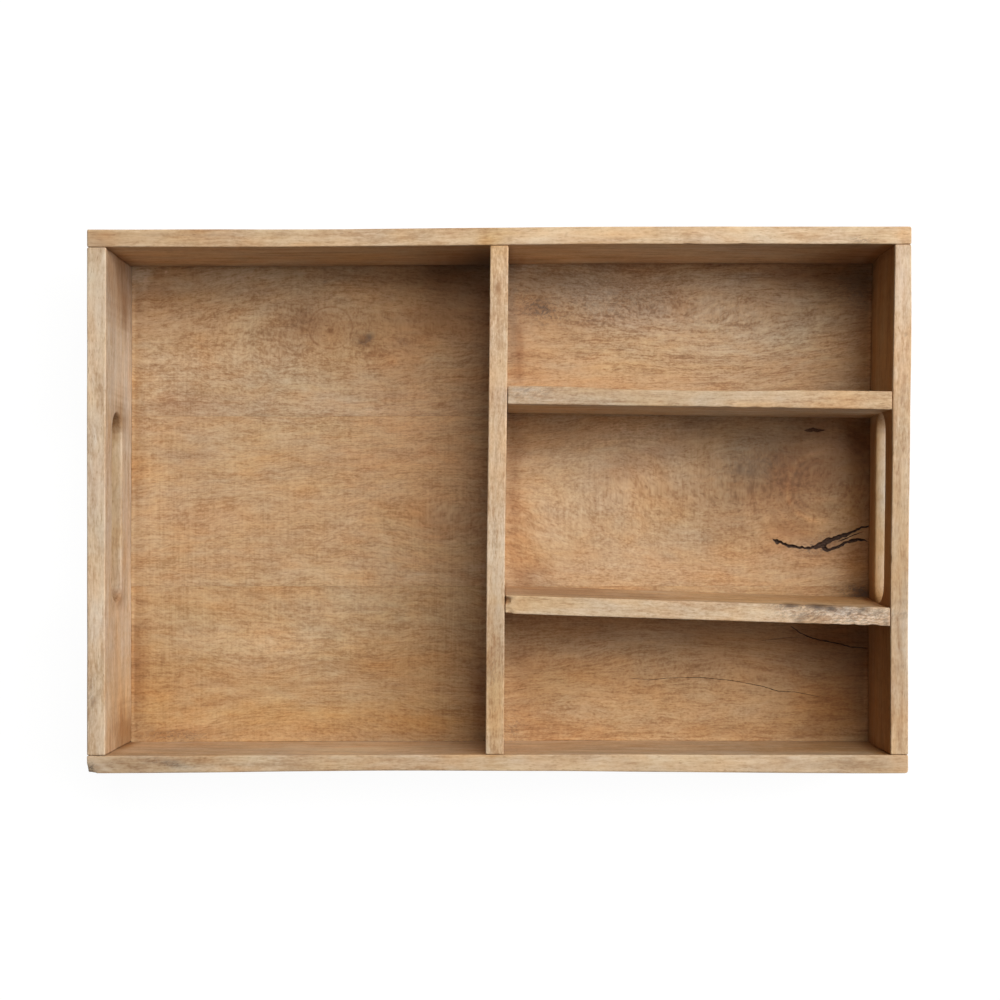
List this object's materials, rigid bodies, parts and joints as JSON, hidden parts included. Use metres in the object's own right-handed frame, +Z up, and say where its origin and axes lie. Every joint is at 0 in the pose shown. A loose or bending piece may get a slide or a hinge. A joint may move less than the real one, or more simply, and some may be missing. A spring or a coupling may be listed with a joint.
{
  "type": "divided serving tray",
  "caption": "Low open rectangular wooden tray with one large and several small compartments, and a round-ended hand slot through each end board.",
  "frame": {"origin": "centre of the underside", "axes": "+X along the tray to the end board beside the small compartments, +Y to the back board, +Z up out of the open top"},
  "size_m": [0.508, 0.337, 0.076],
  "materials": {
    "rim_wood": "bare sanded hardwood, pale tan with grey-brown streaks",
    "divider_wood": "bare sanded hardwood, pale tan, weathered grey in places",
    "floor_wood": "bare sanded hardwood, warm orange brown with knots and cracks",
    "brad_steel": "plain drawn wire, slightly dulled"
  },
  "bodies": {
    "root": {"back_board": "rim_wood", "centre_divider": "divider_wood", "centre_divider_brad_back_1": "brad_steel", "centre_divider_brad_back_2": "brad_steel", "centre_divider_brad_back_3": "brad_steel", "centre_divider_brad_front_1": "brad_steel", "centre_divider_brad_front_2": "brad_steel", "centre_divider_brad_front_3": "brad_steel", "corner_brad_back_left_1": "brad_steel", "corner_brad_back_left_2": "brad_steel", "corner_brad_back_left_3": "brad_steel", "corner_brad_back_right_1": "brad_steel", "corner_brad_back_right_2": "brad_steel", "corner_brad_back_right_3": "brad_steel", "corner_brad_front_left_1": "brad_steel", "corner_brad_front_left_2": "brad_steel", "corner_brad_front_left_3": "brad_steel", "corner_brad_front_right_1": "brad_steel", "corner_brad_front_right_2": "brad_steel", "corner_brad_front_right_3": "brad_steel", "floor_brad_back_1": "brad_steel", "floor_brad_back_2": "brad_steel", "floor_brad_back_3": "brad_steel", "floor_brad_back_4": "brad_steel", "floor_brad_front_1": "brad_steel", "floor_brad_front_2": "brad_steel", "floor_brad_front_3": "brad_steel", "floor_brad_front_4": "brad_steel", "floor_brad_left_front": "brad_steel", "floor_brad_left_middle": "brad_steel", "floor_brad_left_rear": "brad_steel", "floor_brad_right_front": "brad_steel", "floor_brad_right_middle": "brad_steel", "floor_brad_right_rear": "brad_steel", "front_board": "rim_wood", "front_cross_divider": "divider_wood", "front_cross_divider_brad_left_1": "brad_steel", "front_cross_divider_brad_left_2": "brad_steel", "front_cross_divider_brad_right_1": "brad_steel", "front_cross_divider_brad_right_2": "brad_steel", "front_floor_plank": "floor_wood", "left_end_board": "rim_wood", "middle_floor_plank": "floor_wood", "rear_cross_divider": "divider_wood", "rear_cross_divider_brad_left_1": "brad_steel", "rear_cross_divider_brad_left_2": "brad_steel", "rear_cross_divider_brad_right_1": "brad_steel", "rear_cross_divider_brad_right_2": "brad_steel", "rear_floor_plank": "floor_wood", "right_end_board": "rim_wood"}
  },
  "joints": []
}
